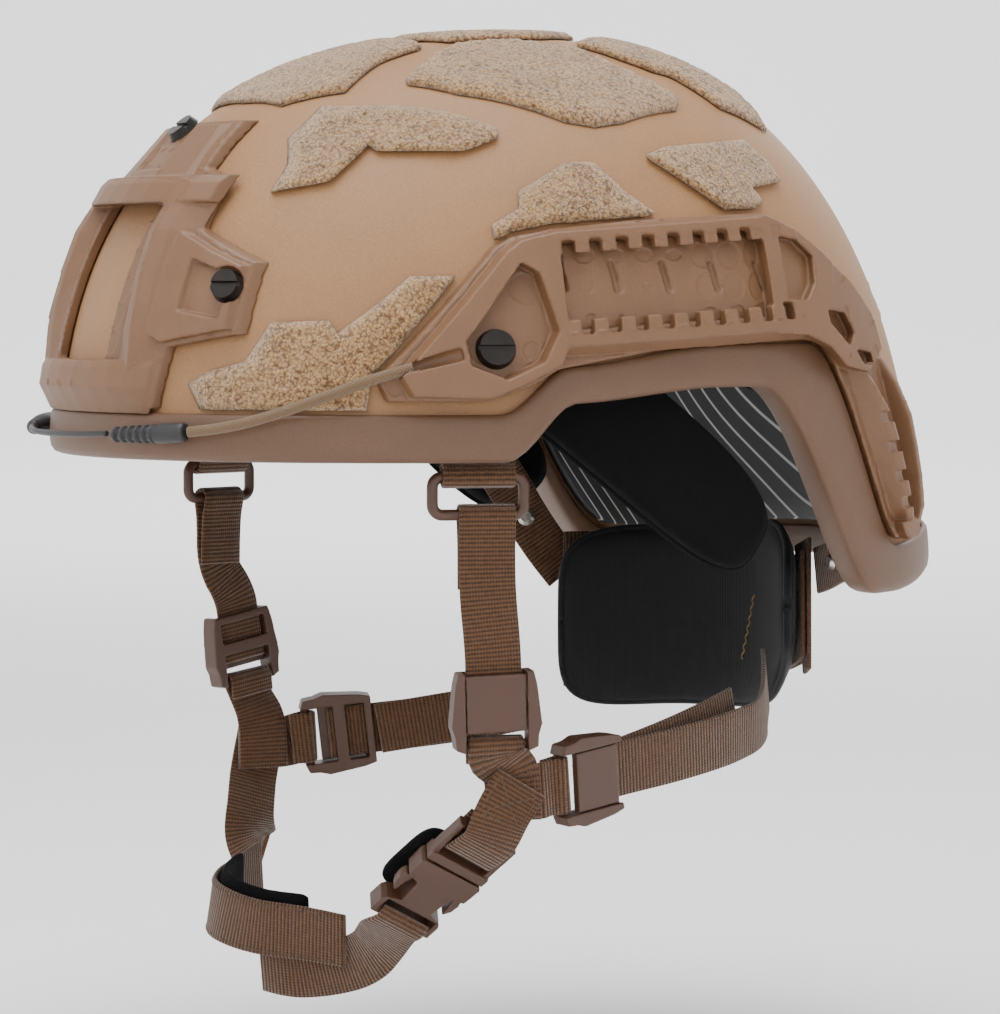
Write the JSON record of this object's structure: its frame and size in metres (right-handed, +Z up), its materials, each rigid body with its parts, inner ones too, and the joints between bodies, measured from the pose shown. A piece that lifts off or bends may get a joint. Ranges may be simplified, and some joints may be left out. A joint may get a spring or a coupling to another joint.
{
  "type": "combat helmet",
  "caption": "High-cut combat helmet with front shroud, toothed side rails, loop patches, pads, bungees, and a webbing harness with nape pad, side-release buckle and chin cup.",
  "frame": {"origin": "the middle of the crown pad's underside, where the helmet rests on the head", "axes": "+X to the wearer's left, -Y to the front, +Z up through the crown"},
  "size_m": [0.2304, 0.2888, 0.3018],
  "materials": {
    "shell_paint": "matt textured tan paint on a laminated shell",
    "trim_rubber": "tan moulded rubber",
    "tan_plastic": "satin tan moulded plastic",
    "loop_pile": "tan loop pile",
    "black_liner": "matt black with thin pale lines",
    "black_fabric": "black knitted pad cover",
    "webbing": "coyote brown woven webbing",
    "brown_plastic": "satin brown plastic",
    "black_screw": "black coated steel",
    "steel": "bare steel",
    "black_rubber": "matt black rubber",
    "braid": "tan braided elastic"
  },
  "bodies": {
    "helmet": {"shell": "shell_paint", "edge_trim": "trim_rubber", "impact_liner": "black_liner", "crown_pad": "black_fabric", "brow_pad": "black_fabric", "back_pad": "black_fabric", "left_side_pad": "black_fabric", "right_side_pad": "black_fabric", "patch_crown_front": "loop_pile", "patch_crown_top": "loop_pile", "patch_crown_rear": "loop_pile", "patch_back": "loop_pile", "patches_upper_front": "loop_pile", "patches_crown_side": "loop_pile", "patches_over_rail": "loop_pile", "patches_rear_side": "loop_pile", "patches_lower_front": "loop_pile", "nvg_shroud": "tan_plastic", "shroud_screws": "black_screw", "left_rail": "tan_plastic", "right_rail": "tan_plastic", "rail_screws": "black_screw", "shell_nuts": "steel", "left_bungee": "braid", "right_bungee": "braid", "left_grip": "black_rubber", "right_grip": "black_rubber", "hook_loop": "black_rubber", "left_hanger": "webbing", "right_hanger": "webbing", "left_ring": "brown_plastic", "right_ring": "brown_plastic", "left_front_strap": "webbing", "right_front_strap": "webbing", "left_rear_strap": "webbing", "right_rear_strap": "webbing", "left_front_adjuster": "brown_plastic", "right_front_adjuster": "brown_plastic", "left_rear_adjuster": "brown_plastic", "right_rear_adjuster": "brown_plastic", "nape_pad": "black_fabric", "nape_backing": "webbing", "left_nape_tab": "webbing", "right_nape_tab": "webbing", "nape_snaps": "steel", "chin_strap_right": "webbing", "chin_strap_left": "webbing", "buckle_plug": "brown_plastic"},
    "left_front_lever": {"left_front_lever": "brown_plastic"},
    "right_front_lever": {"right_front_lever": "brown_plastic"},
    "left_rear_lever": {"left_rear_lever": "brown_plastic"},
    "right_rear_lever": {"right_rear_lever": "brown_plastic"},
    "chin": {"buckle_socket": "brown_plastic", "chin_cup": "webbing", "chin_pad": "black_fabric", "chin_loop_tab": "black_fabric"},
    "prong_lower": {"buckle_prong_lower": "brown_plastic"},
    "prong_upper": {"buckle_prong_upper": "brown_plastic"}
  },
  "joints": [
    {"name": "left_front_lever_hinge", "type": "hinge", "parent": "helmet", "child": "left_front_lever", "pos_m": [0.09433, -0.06295, -0.16639], "axis": [-0.2023, -0.9786, -0.0368], "range_deg": [0, 75]},
    {"name": "right_front_lever_hinge", "type": "hinge", "parent": "helmet", "child": "right_front_lever", "pos_m": [-0.0913, -0.07253, -0.16139], "axis": [-0.2984, 0.9415, 0.1566], "range_deg": [0, 75]},
    {"name": "left_rear_lever_hinge", "type": "hinge", "parent": "helmet", "child": "left_rear_lever", "pos_m": [0.08245, -0.018, -0.19746], "axis": [0.0927, -0.0978, 0.9909], "range_deg": [0, 75]},
    {"name": "right_rear_lever_hinge", "type": "hinge", "parent": "helmet", "child": "right_rear_lever", "pos_m": [-0.08066, -0.02947, -0.19854], "axis": [-0.0829, 0.1506, -0.9851], "range_deg": [0, 75]},
    {"name": "chin_buckle_release", "type": "slide", "parent": "helmet", "child": "chin", "axis": [-0.6666, -0.3927, -0.6336], "range_m": [0, 0.024], "deforming": ["buckle_prong_upper", "buckle_prong_lower", "chin_strap_right"]},
    {"name": "prong_lower_squeeze", "type": "hinge", "parent": "helmet", "child": "prong_lower", "pos_m": [0.07185, -0.05984, -0.22781], "axis": [-0.7428, 0.278, 0.6091], "range_deg": [0, 8], "stiffness_Nm_per_rad": 0.05},
    {"name": "prong_upper_squeeze", "type": "hinge", "parent": "helmet", "child": "prong_upper", "pos_m": [0.07281, -0.07317, -0.22056], "axis": [0.7428, -0.278, -0.6091], "range_deg": [0, 8], "stiffness_Nm_per_rad": 0.05}
  ]
}
